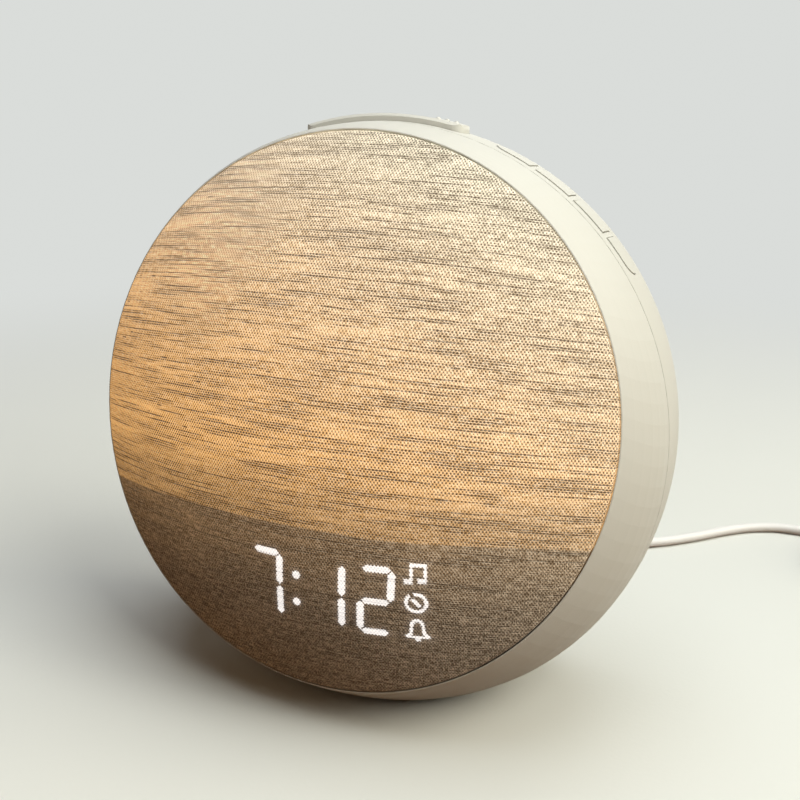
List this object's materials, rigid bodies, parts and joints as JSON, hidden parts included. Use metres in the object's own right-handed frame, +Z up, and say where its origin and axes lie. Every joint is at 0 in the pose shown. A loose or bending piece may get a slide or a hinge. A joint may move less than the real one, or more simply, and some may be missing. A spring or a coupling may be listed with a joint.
{
  "type": "sunrise alarm clock",
  "caption": "Round bedside light clock: a domed linen face that is lamp above and time below, in a leaning rounded shell with a tap bar and side keys on top, on a lead.",
  "frame": {"origin": "on the surface it stands on, under the middle of the body's box (the lead not counted)", "axes": "+Z up; the linen face looks along -Y and leans back; +X is the side with the four keys"},
  "size_m": [0.3036, 0.2221, 0.1856],
  "materials": {
    "linen": "plain weave, matt",
    "diffuser": "translucent, frosted",
    "mask": "matt",
    "guide": "clear, frosted end",
    "shell": "matt, warm off-white",
    "white_plastic": "matt",
    "lamp_board": "white coated",
    "chip": "gloss",
    "board": "satin",
    "component": "matt",
    "screw": "zinc",
    "cell": "bright",
    "speaker_metal": "black",
    "magnet": "dull grey",
    "cone": "pressed pulp, matt",
    "rubber": "matt",
    "foot_rubber": "matt",
    "lead": "satin, white",
    "plated": "bright"
  },
  "bodies": {
    "clock": {"linen_face": "linen", "diffuser_dome": "diffuser", "figure_mask": "mask", "light_guides": "guide", "front_shell": "shell", "reflector": "white_plastic", "divider": "white_plastic", "lamp_board": "lamp_board", "lamp_chips": "chip", "figure_board": "board", "figure_leds": "chip", "figure_screws": "screw", "reflector_screws": "screw", "rear_shell": "shell", "bar_board": "board", "bar_switches": "component", "key_board": "board", "key_switches": "component", "control_screws": "screw", "main_board": "board", "board_parts": "component", "backup_cell": "cell", "board_screws": "screw", "speaker_frame": "speaker_metal", "speaker_magnet": "magnet", "speaker_cone": "cone", "speaker_surround": "rubber", "speaker_gasket": "rubber", "speaker_screws": "screw", "power_jack": "component", "jack_board": "board", "shell_screws": "screw", "feet": "foot_rubber", "plug_grip": "lead", "plug_barrel": "plated", "lead_tube": "lead", "lead_coil": "lead", "end_plug": "lead", "end_plug_shell": "plated"},
    "tap_bar": {"tap_bar": "shell"},
    "key_sound": {"key_sound": "shell"},
    "key_light": {"key_light": "shell"},
    "key_timer": {"key_timer": "shell"},
    "key_alarm": {"key_alarm": "shell"}
  },
  "joints": [
    {"name": "tap_bar_press", "type": "slide", "parent": "clock", "child": "tap_bar", "axis": [0.0175, -0.0871, -0.996], "range_m": [0, 0.0008], "stiffness_N_per_m": 1500},
    {"name": "key_sound_press", "type": "slide", "parent": "clock", "child": "key_sound", "axis": [-0.6266, -0.0679, -0.7764], "range_m": [0, 0.0007], "stiffness_N_per_m": 1200},
    {"name": "key_light_press", "type": "slide", "parent": "clock", "child": "key_light", "axis": [-0.6266, -0.0679, -0.7764], "range_m": [0, 0.0007], "stiffness_N_per_m": 1200},
    {"name": "key_timer_press", "type": "slide", "parent": "clock", "child": "key_timer", "axis": [-0.6266, -0.0679, -0.7764], "range_m": [0, 0.0007], "stiffness_N_per_m": 1200},
    {"name": "key_alarm_press", "type": "slide", "parent": "clock", "child": "key_alarm", "axis": [-0.6266, -0.0679, -0.7764], "range_m": [0, 0.0007], "stiffness_N_per_m": 1200}
  ]
}
